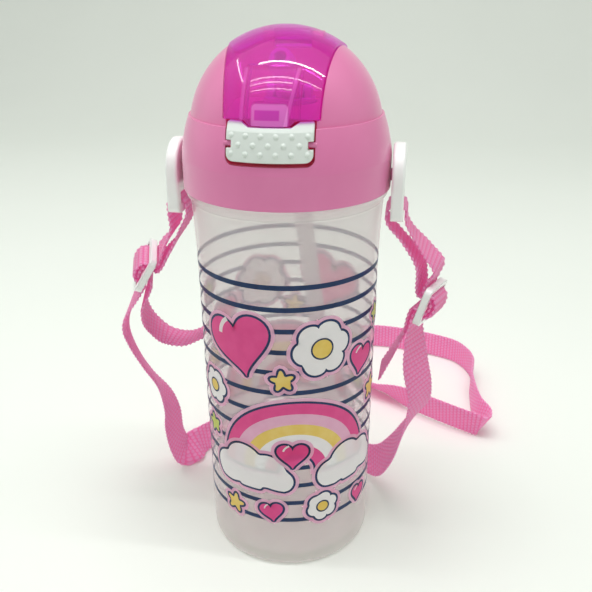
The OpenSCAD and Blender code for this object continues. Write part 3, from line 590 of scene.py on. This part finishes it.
def picture_group(u):
    """A rainbow between clouds, with hearts, daisies and stars round it."""
    bow = (u + 0.004, 0.047)
    bow_radius = 0.030
    band_width = 0.0045
    bow_inks = (rose, blush, sun, snow, rose)
    cloud_drop = 0.003
    arch = turned(arch_outline(bow_radius - len(bow_inks) * band_width, bow_radius), at=bow)
    edged(arch, low_layer)
    for k, ink in enumerate(bow_inks):
        outside = bow_radius - k * band_width
        ink.shape(turned(arch_outline(outside - band_width, outside), at=bow), low_layer - 1)
    for x, size in ((-0.0185, 0.034), (0.0235, 0.031)):
        cloud_place = (bow[0] + x, bow[1] - cloud_drop)
        sticker(snow, turned(cloud_outline(), size=size, at=cloud_place), middle_layer)
    hearts = [
        (-0.0175, 0.1, 0.026, 14), (0.032, 0.0895, 0.013, -16), (0.0025, 0.0545, 0.012, 0),
        (-0.006, 0.0275, 0.0095, 10), (0.0335, 0.0265, 0.0085, -12),
    ]
    for x, z, size, lean in hearts:
        sticker(rose, turned(heart_outline(), lean, size, (u + x, z)), top_layer)
        gleam = turned(arch_outline(0.34, 0.42, 110, 165, 10), lean, size * 0.8, (u + x, z + size * 0.06))
        snow.shape(gleam, top_layer)
    daisies = [(0.0135, 0.0985, 0.0245, 10), (-0.0315, 0.077, 0.0155, 0), (0.0145, 0.0285, 0.0145, 20)]
    for x, z, size, lean in daisies:
        sticker(snow, turned(flower_outline(), lean, size, (u + x, z)), middle_layer)
        middle = turned(round_outline(lambda a: 0.15, 40), 0, size, (u + x, z))
        navy.edge(middle, 0, drawn_edge * 0.7, middle_layer + 1)
        sun.shape(middle, middle_layer + 1)
    stars = [
        (-0.001, 0.0865, 0.0085, 8, sun), (0.0415, 0.072, 0.0095, -10, sun),
        (-0.034, 0.0585, 0.008, 14, lime), (-0.0225, 0.0265, 0.0085, -8, sun),
        (0.0435, 0.1035, 0.0075, 12, lime),
    ]
    for x, z, size, lean, ink in stars:
        sticker(ink, turned(star_outline(), lean, size, (u + x, z)), middle_layer)


front_group = 0.004
picture_group(front_group)
picture_group(front_group - half_round)
hoop_count = 13
hoop_low = 0.0225
hoop_pitch = 0.00828
hoop_width = 0.0019
hoop_step = 0.0004


def under(outline, u, z):
    """Whether a spot lies under a picture: an odd number of the picture's edges pass it on one side."""
    crossings = 0
    for (u0, z0), (u1, z1) in zip(outline[-1:] + outline[:-1], outline):
        crossings += (z0 > z) != (z1 > z) and u < u0 + (z - z0) * (u1 - u0) / (z1 - z0)
    return crossings % 2 == 1


# The hoops stop at the pictures' margins
for k in range(hoop_count):
    z = hoop_low + hoop_pitch * k
    middle = z + hoop_width / 2
    spots = np.linspace(-half_round, half_round, round(2 * half_round / hoop_step))
    near = [p for p in pictures if min(v for _, v in p) < middle < max(v for _, v in p)]
    bare = [not any(under(p, u, middle) or under(p, u - 2 * half_round, middle) for p in near) for u in spots]
    starts = [i for i in range(len(spots)) if bare[i] and (i == 0 or not bare[i - 1])]
    ends = [i for i in range(len(spots)) if bare[i] and (i == len(spots) - 1 or not bare[i + 1])]
    for start, end in zip(starts, ends):
        left, right = spots[start] - hoop_step, spots[end] + hoop_step
        navy.shape([(left, z), (right, z), (right, z + hoop_width), (left, z + hoop_width)], 0)

# Each ink has a deep and a light tone, the tone of the light that comes through it, and that light's share
inks = [
    (navy, (0.003, 0.012, 0.040), (0.005, 0.016, 0.052), (0.08, 0.24, 0.70), 0.18),
    (rose, (0.82, 0.06, 0.28), (0.88, 0.085, 0.33), (0.95, 0.22, 0.50), 0.35),
    (blush, (0.86, 0.46, 0.66), (0.91, 0.54, 0.72), (0.95, 0.62, 0.78), 0.35),
    (snow, (0.93, 0.93, 0.94), (0.96, 0.96, 0.97), (0.98, 0.97, 0.97), 0.3),
    (sun, (0.90, 0.66, 0.13), (0.95, 0.74, 0.22), (0.95, 0.76, 0.30), 0.35),
    (lime, (0.60, 0.70, 0.10), (0.67, 0.78, 0.18), (0.70, 0.80, 0.25), 0.35),
]
for ink, deep, light, behind, share in inks:
    ink.print_on_wall(ink_material(f"ink_{ink.name.removeprefix('print_')}", deep, light, behind, share))

# The lid: skirt and dome in one pink moulding, spark-eroded to a satin finish, with softened edges.
# Hinge ears, latch pegs and hanger pegs are part of it. The glow in its gaps, from light that soaks through
# the walls, is painted into their colour.
def moulded_material(name, deep, light, rough=0.36, edge=0.0004, coat=0.12, gaps=None, haze=0.0):
    """Satin injection moulding: soft edges, faint flow marks, fine eroded grain."""
    material, wire = new_material(name)
    place = wire.node("ShaderNodeTexCoord", out="Object")
    flow = wire.node("ShaderNodeTexNoise", Vector=place, Scale=28.0, Detail=4.0, Distortion=0.6)
    grain = wire.node("ShaderNodeTexNoise", Vector=place, Scale=3200.0, Detail=2.0)
    rub = wire.node("ShaderNodeTexNoise", Vector=place, Scale=420.0, Detail=5.0)
    soft_edge = wire.node("ShaderNodeBevel", {"samples": 6}, Radius=edge)
    bump = wire.node("ShaderNodeBump", Strength=0.10, Distance=0.00006, Height=grain, Normal=soft_edge)
    colour = flow.band(0.3, 0.7).blend(deep, light)
    if gaps:
        colour = gaps(wire, place, colour)
    shine = rough + 0.10 * rub - 0.04 * flow
    return finish_material(
        material, wire, Base_Color=colour, Roughness=shine, Normal=bump, Coat_Weight=coat,
        Coat_Roughness=0.25, Sheen_Weight=haze, Sheen_Roughness=0.4,
    )


dome_middle = (0.0, 0.0, 0.1705)
dome_radius = 0.034
slot_floor = 0.1784
pocket_floor = 0.1649
pocket_half = 0.01445
pocket_back = -0.02728
skirt_radius = 0.03717
skirt_slope = 0.256
skin_depth = 0.0004
cut_edge = 0.0002
# Painted glow in the lid's gaps: crimson in the latch's pocket, light pink inside the cover's slot.
pocket_glow_crimson = (0.98, 0.05, 0.20)
slot_glow_pink = (0.97, 0.40, 0.62)


def lid_gap_glow(wire, place, colour):
    """Painted glow: crimson in the latch's pocket, light pink inside the cover's slot."""
    aside, rearward, height = (wire.node("ShaderNodeSeparateXYZ", Vector=place, out=axis) for axis in "XYZ")
    aside = aside.math("ABSOLUTE", aside)
    level = wire.node("ShaderNodeVectorMath", {"operation": "MULTIPLY"}, i0=place, i1=(1.0, 1.0, 0.0))
    reach = wire.node("ShaderNodeVectorMath", {"operation": "LENGTH"}, out="Value", i0=level)
    reach = reach + skirt_slope * (height - pocket_floor)
    pocket = 1 - reach.band(skirt_radius - 2 * skin_depth, skirt_radius - skin_depth)
    pocket = pocket * (1 - aside.band(pocket_half, pocket_half + cut_edge))
    pocket = pocket * (1 - rearward.band(pocket_back, pocket_back + cut_edge))
    pocket = pocket * height.band(pocket_floor - cut_edge, pocket_floor)
    from_middle = wire.node(
        "ShaderNodeVectorMath", {"operation": "DISTANCE"}, out="Value", i0=place, i1=dome_middle,
    )
    slot = 1 - from_middle.band(dome_radius - 2 * skin_depth, dome_radius - skin_depth)
    slot = slot * height.band(slot_floor - cut_edge, slot_floor)
    return slot.blend(pocket.blend(colour, pocket_glow_crimson), slot_glow_pink)


pink = moulded_material(
    "pink_moulding", (0.78, 0.19, 0.425), (0.81, 0.215, 0.455), coat=0.4, gaps=lid_gap_glow, haze=0.3,
)
dress(nodes["lid_shell"], pink)

# Inside the lid: a white screw cap with the turret for the spout, a flat silicone ring on the neck and
# a silicone mushroom that lets air in while drinking.
white = moulded_material("white_moulding", (0.80, 0.82, 0.80), (0.84, 0.86, 0.84), 0.30, 0.0005, 0.2)
dress(nodes["lid_insert"], white)


def silicone_material():
    """Soft, cloudy silicone rubber with a little dust on it."""
    material, wire = new_material("silicone")
    place = wire.node("ShaderNodeTexCoord", out="Object")
    dust = wire.node("ShaderNodeTexNoise", Vector=place, Scale=900.0, Detail=4.0)
    cloud = wire.node("ShaderNodeTexNoise", Vector=place, Scale=70.0, Detail=2.0)
    soft_edge = wire.node("ShaderNodeBevel", {"samples": 6}, Radius=0.0005)
    bump = wire.node("ShaderNodeBump", Strength=0.12, Distance=0.0001, Height=dust, Normal=soft_edge)
    colour = cloud.blend((0.78, 0.76, 0.73), (0.85, 0.83, 0.81))
    rough = 0.42 + 0.2 * dust
    return finish_material(
        material, wire, Base_Color=colour, Roughness=rough, Normal=bump, Subsurface_Weight=0.2,
        Subsurface_Scale=0.002,
    )


silicone = silicone_material()
for name in ("lid_seal", "vent_valve", "spout_seat", "mouthpiece"):
    dress(nodes[name], silicone)

# The straw: an extruded tube of translucent plastic, pushed up the seat's nipple. It leans across the
# bottle and shows through the wall as a pale band.
def straw_material():
    """Cloudy drawn plastic that lets part of what is behind it show."""
    material, wire = new_material("straw_tube")
    place = wire.node("ShaderNodeTexCoord", out="Object")
    draw = wire.node("ShaderNodeTexNoise", Vector=place, Scale=120.0, Detail=3.0)
    colour = draw.blend((0.94, 0.94, 0.95), (0.97, 0.97, 0.98))
    cloud = 0.52 + 0.1 * draw
    rough = 0.22 + 0.1 * draw
    return finish_material(material, wire, Base_Color=colour, Roughness=rough, Alpha=cloud)


dress(nodes["straw"], straw_material())

# The flip cover: translucent magenta, polished, with its ribs and catch frame seen through it. Their paler
# tone is a painted highlight, and the catch's darker window is painted shade. It turns on a plain steel pin
# between the lid's ears.
rib_side = 0.0085
rib_half = 0.0006
rib_top = 0.194
rib_lean_left = 0.05
rib_lean_right = 0.2
catch_side = 0.0058
catch_top = 0.1837
catch_round = 0.0014
window_left = -0.0047
window_right = 0.0031
window_top = 0.1818
window_foot = 0.1789
soft_line = 0.0003


def between(value, low, high):
    """1 from low to high and 0 beyond, with a soft edge."""
    above_low = value.band(low - soft_line, low + soft_line)
    return above_low * (1 - value.band(high - soft_line, high + soft_line))


def cover_material():
    """Clear tinted plastic under a polished face, with a painted highlight over the ribs and the catch frame
    and painted shade in the catch's window.
    """
    material, wire = new_material("magenta_cover")
    place = wire.node("ShaderNodeTexCoord", out="Object")
    flow = wire.node("ShaderNodeTexNoise", Vector=place, Scale=45.0, Detail=3.0)
    wipe = wire.node("ShaderNodeTexNoise", Vector=place, Scale=700.0, Detail=5.0)
    soft_edge = wire.node("ShaderNodeBevel", {"samples": 6}, Radius=soft_line)
    height = wire.node("ShaderNodeSeparateXYZ", Vector=place, out="Z")
    sideways = wire.node("ShaderNodeSeparateXYZ", Vector=place, out="X")
    aside = sideways.math("ABSOLUTE", sideways)
    low_part = 1 - height.band(rib_top - rib_half, rib_top)
    left = sideways + rib_side + rib_lean_left * (rib_top - height)
    right = sideways - rib_side + rib_lean_right * (rib_top - height)
    tongue = left.band(0.0, rib_half) * (1 - right.band(-rib_half, 0.0)) * low_part
    rib = (between(left, -rib_half, rib_half) + between(right, -rib_half, rib_half)) * low_part
    corner = aside.math("MAXIMUM", aside - catch_side + catch_round, 0.0)
    shoulder = aside.math("MAXIMUM", height - catch_top + catch_round, 0.0)
    beyond = aside.math("SQRT", corner * corner + shoulder * shoulder)
    catch = 1 - beyond.band(catch_round - soft_line, catch_round + soft_line)
    window = between(sideways, window_left, window_right) * between(height, window_foot, window_top)
    # The ribs, the strip between them and the catch frame are painted paler, a painted highlight; the catch's
    # window is painted a darker violet, painted shade.
    pale = 0.1 * tongue + 0.25 * rib + 0.55 * (catch - window)
    magenta = flow.blend((0.90, 0.022, 0.58), (0.93, 0.03, 0.64))
    highlight_magenta = (1.0, 0.36, 0.90)
    window_shade_violet = (0.80, 0.045, 0.60)
    colour = window.blend(pale.blend(magenta, highlight_magenta), window_shade_violet)
    skin = wire.node("ShaderNodeBsdfPrincipled", Base_Color=colour, Roughness=0.35, Normal=soft_edge)
    tint = wire.node("ShaderNodeBsdfTransparent", Color=(0.93, 0.33, 0.93))
    body = 0.2 + 0.05 * flow + 0.06 * tongue + 0.2 * rib + 0.32 * catch
    shell = wire.node("ShaderNodeMixShader", i0=body, i1=tint, i2=skin)
    rough = 0.02 + 0.05 * wipe
    polish = wire.node("ShaderNodeBsdfPrincipled", Base_Color=(1.0, 1.0, 1.0), Metallic=1.0, Roughness=rough)
    graze = wire.node("ShaderNodeLayerWeight", Blend=0.5, out="Facing")
    gloss = 0.04 + 0.6 * graze.math("POWER", graze, 4.0)
    return finish_mix(material, wire.node("ShaderNodeMixShader", i0=gloss, i1=shell, i2=polish))


dress(nodes["flip_cover"], cover_material())


def pin_material():
    """Drawn steel, with fine lines along the pin."""
    material, wire = new_material("pin_steel")
    place = wire.node("ShaderNodeTexCoord", out="Object")
    drawn = wire.node("ShaderNodeVectorMath", {"operation": "MULTIPLY"}, i0=place, i1=(60.0, 2500.0, 2500.0))
    lines = wire.node("ShaderNodeTexNoise", Vector=drawn, Scale=1.0, Detail=3.0)
    colour = lines.blend((0.52, 0.53, 0.55), (0.68, 0.69, 0.70))
    rough = 0.25 + 0.2 * lines
    return finish_material(material, wire, Base_Color=colour, Roughness=rough, Metallic=1.0)


dress(nodes["hinge_pin"], pin_material())

# The latch, the two strap hangers and the two tri-glides: small white mouldings with soft edges. The
# latch rocks on two pegs in its side notches, and the hangers turn on the lid's pegs.
# The latch's white is greyer and greener than the hangers': its own greenish tone, darkened further as
# painted shade for its front face, where less light falls.
latch_white_and_shade = moulded_material("latch_moulding", (0.76, 0.82, 0.78), (0.79, 0.85, 0.81), 0.42, 0.0005, 0.1)
dress(nodes["latch_button"], latch_white_and_shade)
strap_white = moulded_material("strap_moulding", (0.94, 0.95, 0.94), (0.97, 0.98, 0.97), 0.30, 0.0008, 0.5)
for name in ("hanger_left", "hanger_right", "adjuster_left", "adjuster_right"):
    dress(nodes[name], strap_white)

# The stage: a pale paper sweep, one large soft lamp overhead, strip lamps on the ceiling and an even,
# pale surround.
def sweep_material():
    """Matt paper with a faint tone in it."""
    material, wire = new_material("paper_sweep")
    place = wire.node("ShaderNodeTexCoord", out="Object")
    fibre = wire.node("ShaderNodeTexNoise", Vector=place, Scale=6.0, Detail=3.0)
    colour = fibre.blend((0.90, 0.93, 0.88), (0.93, 0.96, 0.91))
    return finish_material(material, wire, Base_Color=colour, Roughness=0.9, Specular_IOR_Level=0.1)


sweep_half = 3.0
sweep_front = -2.0
sweep_back = 0.75
sweep_radius = 0.5
sweep_top = 2.5
bend_steps = 16
bend = [math.radians(-90 + 90 * k / bend_steps) for k in range(bend_steps + 1)]
profile = [(sweep_front, 0)]
profile += [
    (sweep_back + sweep_radius * math.cos(a), sweep_radius + sweep_radius * math.sin(a)) for a in bend
]
profile += [(sweep_back + sweep_radius, sweep_top)]
sweep_points = [(x, y, z) for y, z in profile for x in (-sweep_half, sweep_half)]
sweep_faces = [(2 * i, 2 * i + 1, 2 * i + 3, 2 * i + 2) for i in range(len(profile) - 1)]
sweep = new_piece("sweep", sweep_points, sweep_faces)
dress(sweep, sweep_material())


def softbox(name, place, aim, width, depth, watts):
    """A flat lamp at a place, turned to a point."""
    lamp = bpy.data.lights.new(name, "AREA")
    lamp.shape = "RECTANGLE"
    lamp.size = width
    lamp.size_y = depth
    lamp.energy = watts
    holder = bpy.data.objects.new(name, lamp)
    holder.location = place
    holder.rotation_euler = (Vector(aim) - Vector(place)).to_track_quat("-Z", "Y").to_euler()
    scene.collection.objects.link(holder)
    return holder


overhead_place = (-0.12, -0.1, 1.25)
overhead_aim = (0, 0, 0.1)
overhead_side = 1.0
overhead_watts = 6.2
overhead = softbox("overhead", overhead_place, overhead_aim, overhead_side, overhead_side, overhead_watts)
overhead.visible_glossy = False

# Bare strip lamps on the ceiling, which the polished cover shows as thin white streaks: the ends, the
# distance from the bottle and the power of each that runs across, then one that runs along the left
tube_width = 0.026
ceiling = 1.0
tubes = [
    ("tube_over", (-0.36, 0.62), -0.075, 3.0), ("tube_second", (-0.55, 0.74), -0.38, 1.3),
    ("tube_third", (-0.60, 0.19), -0.49, 0.8), ("tube_front", (-0.65, 0.21), -0.65, 0.8),
]
for name, (left, right), y, watts in tubes:
    middle = ((left + right) / 2, y)
    tube = softbox(name, (*middle, ceiling), (*middle, 0), right - left, tube_width, watts)
    tube.visible_diffuse = name == "tube_over"
left_x = -0.715
left_length = 0.65
left_watts = 0.9
softbox("tube_left", (left_x, 0.0, ceiling), (left_x, 0, 0), tube_width, left_length, left_watts)

# The surround is dimmer in front, and where it is seen past the sweep it has about the paper's tone
front_share, rear_share = 0.55, 0.45
lit_level, mirrored_extra, seen_level = 0.57, 0.35, 0.58
world = bpy.data.worlds.new("surround")
world.use_nodes = True
world.node_tree.nodes.clear()
sky = Wire(world.node_tree)
way = sky.node("ShaderNodeTexCoord", out="Generated")
rearward = sky.node("ShaderNodeSeparateXYZ", Vector=way, out="Y").band(-0.85, -0.05)
mirrored = sky.node("ShaderNodeLightPath", out="Is Glossy Ray")
seen = sky.node("ShaderNodeLightPath", out="Is Camera Ray")
lit = (front_share + rear_share * rearward) * (lit_level + mirrored_extra * mirrored)
level = lit + seen * (seen_level - lit)
pale = sky.node("ShaderNodeBackground", Color=(0.96, 1.0, 0.95), Strength=level)
sky.node("ShaderNodeOutputWorld", out=None, Surface=pale)
scene.world = world
scene.cycles.transparent_max_bounces = 24
scene.cycles.diffuse_bounces = 8
